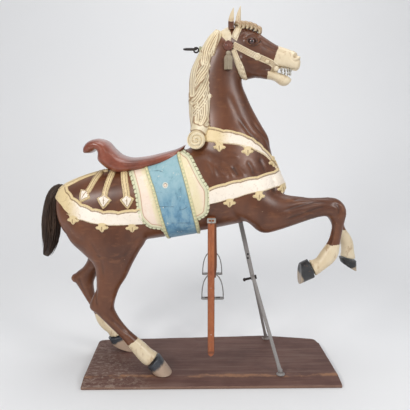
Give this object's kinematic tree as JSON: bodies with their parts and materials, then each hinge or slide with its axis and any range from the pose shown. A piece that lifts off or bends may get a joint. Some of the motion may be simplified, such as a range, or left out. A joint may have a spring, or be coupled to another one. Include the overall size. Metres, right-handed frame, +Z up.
{
  "type": "carousel horse",
  "caption": "Carved and painted wooden carousel horse, forelegs raised, with saddle, trappings, horsehair tail and stirrups, on a bevelled board with an iron prop.",
  "frame": {"origin": "centre of the board's length on its underside, 200 mm in from the board's bevelled edge", "axes": "+X the way the horse faces, +Y towards the horse's left side, +Z up"},
  "size_m": [1.307, 0.439, 1.444],
  "materials": {
    "carved_wood": "worn oil paint on carved wood",
    "board_wood": "worn dark stain",
    "horsehair": "natural hair",
    "eye_glass": "polished",
    "dark_iron": "dark, lightly rusted",
    "strap_leather": "worn tan",
    "plain_steel": "dull, worn",
    "stand_iron": "dull grey, worn and rusty"
  },
  "bodies": {
    "root": {"horse": "carved_wood", "base_board": "board_wood", "tail": "horsehair", "eye_right": "eye_glass", "eye_left": "eye_glass", "crest_ring": "dark_iron", "crest_eye_bolt": "dark_iron", "stirrup_leather_right": "strap_leather", "stirrup_leather_left": "strap_leather", "stirrup_buckle_right": "plain_steel", "stirrup_buckle_left": "plain_steel", "stirrup_iron_right": "plain_steel", "stirrup_iron_left": "plain_steel", "stand_post": "stand_iron", "stand_leg_right": "stand_iron", "stand_leg_left": "stand_iron", "stand_bolt": "dark_iron"}
  },
  "joints": []
}
